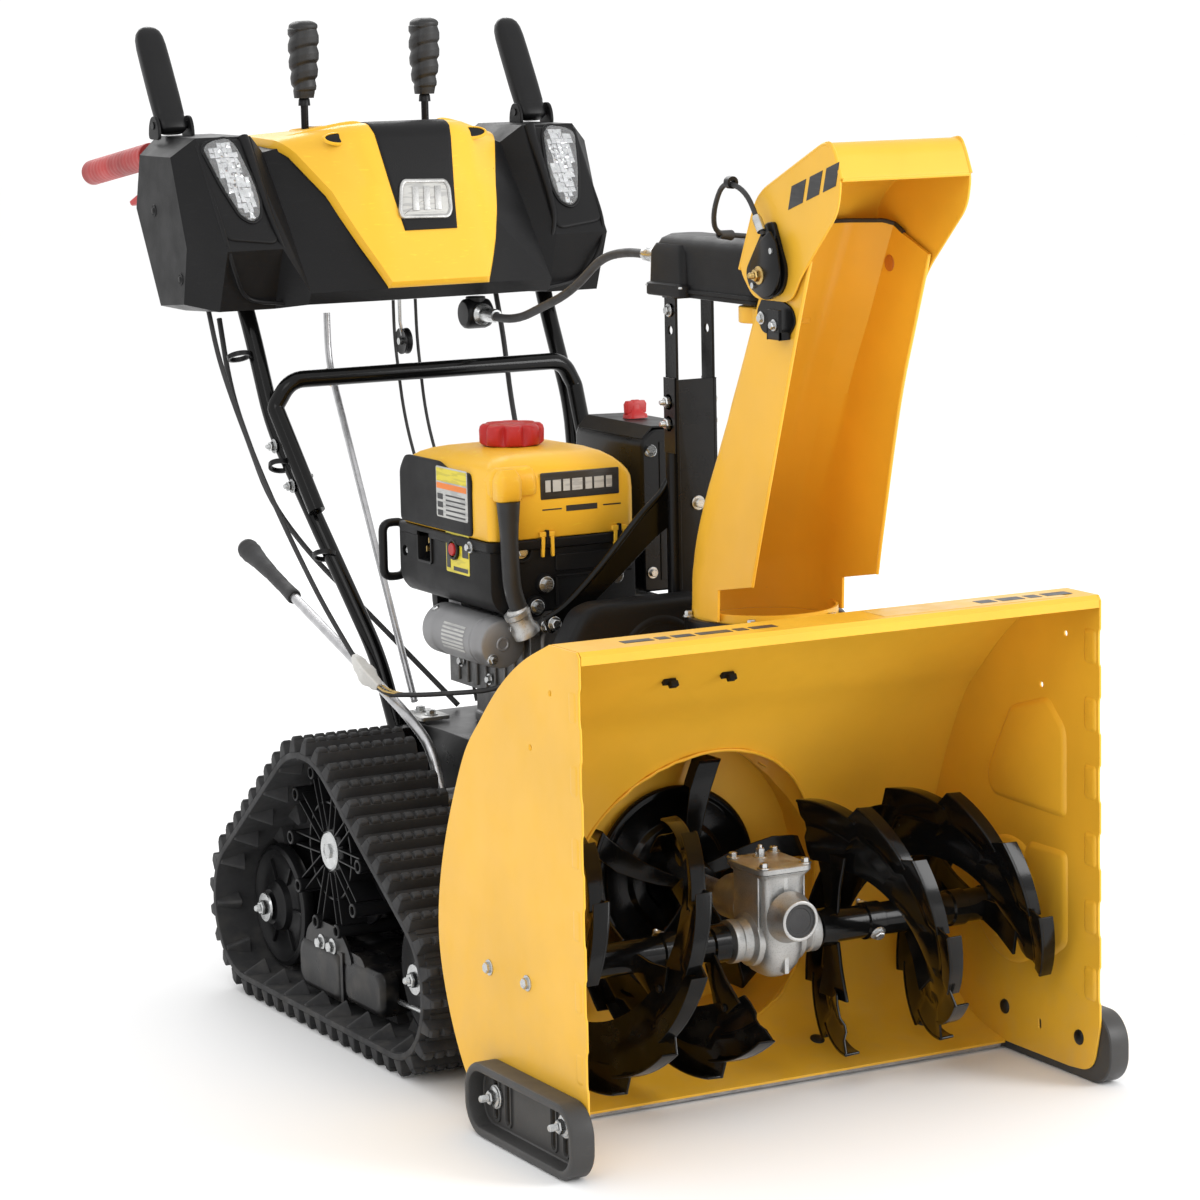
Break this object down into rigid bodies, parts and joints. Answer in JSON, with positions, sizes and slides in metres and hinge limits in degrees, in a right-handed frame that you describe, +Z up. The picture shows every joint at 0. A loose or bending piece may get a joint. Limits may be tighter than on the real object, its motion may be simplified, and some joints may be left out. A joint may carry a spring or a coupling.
{
  "type": "two stage snowblower",
  "caption": "Two-stage tracked snowblower: auger intake, impeller drum, steerable chute with deflector, engine, rubber tracks, handlebars and control dash.",
  "frame": {"origin": "middle of the footprint box, on the ground that the tracks and skid shoes rest on", "axes": "+Z up; the intake faces -Y and the handle grips point to +Y; +X is across the machine, to the right as seen from the front"},
  "size_m": [0.72, 1.526, 1.2126],
  "materials": {
    "yellow_paint": "gloss powder coat",
    "yellow_plastic": "semi-gloss moulded",
    "black_paint": "gloss black",
    "black_plastic": "fine grained",
    "rubber": "matte moulded",
    "aluminium": "as cast",
    "steel": "zinc plated",
    "red_plastic": "semi-gloss red",
    "lens": "clear ribbed lens"
  },
  "bodies": {
    "machine": {"auger_housing": "yellow_paint", "side_plate_left": "yellow_paint", "side_plate_right": "yellow_paint", "scraper_bar": "yellow_paint", "skid_shoe_left": "black_plastic", "skid_shoe_right": "black_plastic", "impeller_housing": "yellow_paint", "gearbox_case": "aluminium", "frame": "black_paint", "engine_block": "aluminium", "engine_shroud": "black_plastic", "fuel_tank_cover": "yellow_plastic", "starter_motor": "aluminium", "muffler_cover": "black_paint", "drive_belt": "rubber", "belt_cover": "black_plastic", "chute_post": "black_paint", "chute_head": "black_plastic", "chute_flex_shaft": "black_plastic", "handlebar_left": "black_paint", "grip_left": "red_plastic", "handlebar_right": "black_paint", "grip_right": "red_plastic", "handle_arch": "black_paint", "dash_shell": "black_plastic", "dash_panel": "yellow_plastic", "headlight_left": "lens", "headlight_right": "lens", "clutch_cable_left": "rubber"},
    "augers": {"auger_shaft": "steel", "auger_left": "black_paint", "auger_right": "black_paint"},
    "impeller": {"impeller": "black_paint"},
    "crank": {"crank_pulley": "steel"},
    "drive_wheel_left": {"drive_wheel_left": "black_plastic"},
    "drive_wheel_right": {"drive_wheel_right": "black_plastic"},
    "carriage_left": {"track_frame_left": "black_paint", "track_belt_left": "rubber"},
    "carriage_right": {"track_frame_right": "black_paint", "track_belt_right": "rubber"},
    "front_idler_left": {"front_idler_left": "black_plastic"},
    "rear_idler_left": {"rear_idler_left": "black_plastic"},
    "front_idler_right": {"front_idler_right": "black_plastic"},
    "rear_idler_right": {"rear_idler_right": "black_plastic"},
    "track_lever": {"track_lever": "steel"},
    "chute": {"chute": "yellow_paint", "deflector_cable": "rubber"},
    "deflector": {"chute_deflector": "yellow_paint", "deflector_bracket": "black_paint"},
    "chute_lever": {"chute_lever": "black_plastic"},
    "shift_lever": {"shift_lever": "black_plastic"},
    "shift_rod": {"shift_rod": "steel"},
    "clutch_lever_left": {"clutch_lever_left": "black_plastic"},
    "clutch_lever_right": {"clutch_lever_right": "black_plastic"},
    "trigger_left": {"trigger_left": "red_plastic"},
    "trigger_right": {"trigger_right": "red_plastic"},
    "fuel_cap": {"fuel_cap": "red_plastic"},
    "choke_knob": {"choke_knob": "red_plastic"},
    "start_button": {"start_button": "red_plastic"},
    "recoil_handle": {"recoil_handle": "black_plastic"}
  },
  "joints": [
    {"name": "impeller_spin", "type": "hinge", "parent": "machine", "child": "impeller", "pos_m": [0, -0.377, 0.215], "axis": [0, -1, 0], "continuous": true},
    {"name": "auger_spin", "type": "hinge", "parent": "machine", "child": "augers", "pos_m": [0, -0.57, 0.185], "axis": [1, 0, 0], "continuous": true},
    {"name": "crank_spin", "type": "hinge", "parent": "machine", "child": "crank", "pos_m": [0, -0.291, 0.455], "axis": [0, -1, 0], "continuous": true},
    {"name": "drive_spin_left", "type": "hinge", "parent": "machine", "child": "drive_wheel_left", "pos_m": [-0.265, -0.035, 0.22], "axis": [1, 0, 0], "continuous": true},
    {"name": "track_tilt_left", "type": "hinge", "parent": "machine", "child": "carriage_left", "pos_m": [-0.212, -0.035, 0.22], "axis": [1, 0, 0], "range_deg": [-4, 4]},
    {"name": "front_idler_spin_left", "type": "hinge", "parent": "carriage_left", "child": "front_idler_left", "pos_m": [-0.265, -0.267, 0.11], "axis": [1, 0, 0], "continuous": true},
    {"name": "rear_idler_spin_left", "type": "hinge", "parent": "carriage_left", "child": "rear_idler_left", "pos_m": [-0.265, 0.165, 0.11], "axis": [1, 0, 0], "continuous": true},
    {"name": "drive_spin_right", "type": "hinge", "parent": "machine", "child": "drive_wheel_right", "pos_m": [0.265, -0.035, 0.22], "axis": [1, 0, 0], "continuous": true},
    {"name": "track_tilt_right", "type": "hinge", "parent": "machine", "child": "carriage_right", "pos_m": [0.212, -0.035, 0.22], "axis": [1, 0, 0], "range_deg": [-4, 4]},
    {"name": "front_idler_spin_right", "type": "hinge", "parent": "carriage_right", "child": "front_idler_right", "pos_m": [0.265, -0.267, 0.11], "axis": [1, 0, 0], "continuous": true},
    {"name": "rear_idler_spin_right", "type": "hinge", "parent": "carriage_right", "child": "rear_idler_right", "pos_m": [0.265, 0.165, 0.11], "axis": [1, 0, 0], "continuous": true},
    {"name": "track_lever_swing", "type": "hinge", "parent": "machine", "child": "track_lever", "pos_m": [-0.17, -0.107, 0.28], "axis": [1, 0, 0], "range_deg": [-6, 6]},
    {"name": "chute_turn", "type": "hinge", "parent": "machine", "child": "chute", "pos_m": [0.085, -0.427, 0.7], "axis": [0, 0, 1], "range_deg": [-90, 90]},
    {"name": "deflector_tilt", "type": "hinge", "parent": "chute", "child": "deflector", "pos_m": [0.085, -0.586, 0.935], "axis": [1, 0, 0], "range_deg": [0, 60]},
    {"name": "chute_lever_tilt", "type": "hinge", "parent": "machine", "child": "chute_lever", "pos_m": [0.085, 0.439, 1.015], "axis": [1, 0, 0], "range_deg": [0, 12]},
    {"name": "shift_lever_tilt", "type": "hinge", "parent": "machine", "child": "shift_lever", "pos_m": [-0.09, 0.439, 1.015], "axis": [1, 0, 0], "range_deg": [-14, 14]},
    {"name": "shift_rod_slide", "type": "slide", "parent": "machine", "child": "shift_rod", "axis": [-0.0562, -0.5822, -0.8111], "range_m": [-0.005, 0.005]},
    {"name": "clutch_squeeze_left", "type": "hinge", "parent": "machine", "child": "clutch_lever_left", "pos_m": [-0.263, 0.475, 1.082], "axis": [-1, 0, 0], "range_deg": [0, 52], "stiffness_Nm_per_rad": 1, "springref_deg": -17.19},
    {"name": "trigger_squeeze_left", "type": "hinge", "parent": "machine", "child": "trigger_left", "pos_m": [-0.265, 0.527, 0.998], "axis": [1, 0, 0], "range_deg": [0, 10], "stiffness_Nm_per_rad": 0.6, "springref_deg": -11.46},
    {"name": "clutch_squeeze_right", "type": "hinge", "parent": "machine", "child": "clutch_lever_right", "pos_m": [0.263, 0.475, 1.082], "axis": [-1, 0, 0], "range_deg": [0, 52], "stiffness_Nm_per_rad": 1, "springref_deg": -17.19},
    {"name": "trigger_squeeze_right", "type": "hinge", "parent": "machine", "child": "trigger_right", "pos_m": [0.265, 0.527, 0.998], "axis": [1, 0, 0], "range_deg": [0, 10], "stiffness_Nm_per_rad": 0.6, "springref_deg": -11.46},
    {"name": "fuel_cap_turn", "type": "hinge", "parent": "machine", "child": "fuel_cap", "pos_m": [-0.06, -0.075, 0.715], "axis": [0, 0, 1], "continuous": true},
    {"name": "choke_turn", "type": "hinge", "parent": "machine", "child": "choke_knob", "pos_m": [0.125, -0.051, 0.73], "axis": [0, 0, 1], "range_deg": [0, 80]},
    {"name": "start_button_press", "type": "slide", "parent": "machine", "child": "start_button", "axis": [1, 0, 0], "range_m": [0, 0.003], "stiffness_N_per_m": 300, "springref_m": -0.002},
    {"name": "recoil_pull", "type": "slide", "parent": "machine", "child": "recoil_handle", "axis": [0, 1, 0], "range_m": [0, 0.3], "stiffness_N_per_m": 25, "springref_m": -0.2}
  ],
  "couplings": [
    {"joint": "auger_spin", "follows": "impeller_spin", "ratio": 0.1},
    {"joint": "crank_spin", "follows": "impeller_spin", "ratio": 1.9333},
    {"joint": "track_tilt_right", "follows": "track_tilt_left", "ratio": 1},
    {"joint": "track_lever_swing", "follows": "track_tilt_left", "ratio": 1.5},
    {"joint": "chute_lever_tilt", "follows": "deflector_tilt", "ratio": 0.2},
    {"joint": "shift_rod_slide", "follows": "shift_lever_tilt", "m_per_rad": 0.02},
    {"joint": "front_idler_spin_left", "follows": "drive_spin_left", "ratio": 1.4146},
    {"joint": "rear_idler_spin_left", "follows": "drive_spin_left", "ratio": 1.4146},
    {"joint": "front_idler_spin_right", "follows": "drive_spin_right", "ratio": 1.4146},
    {"joint": "rear_idler_spin_right", "follows": "drive_spin_right", "ratio": 1.4146}
  ]
}
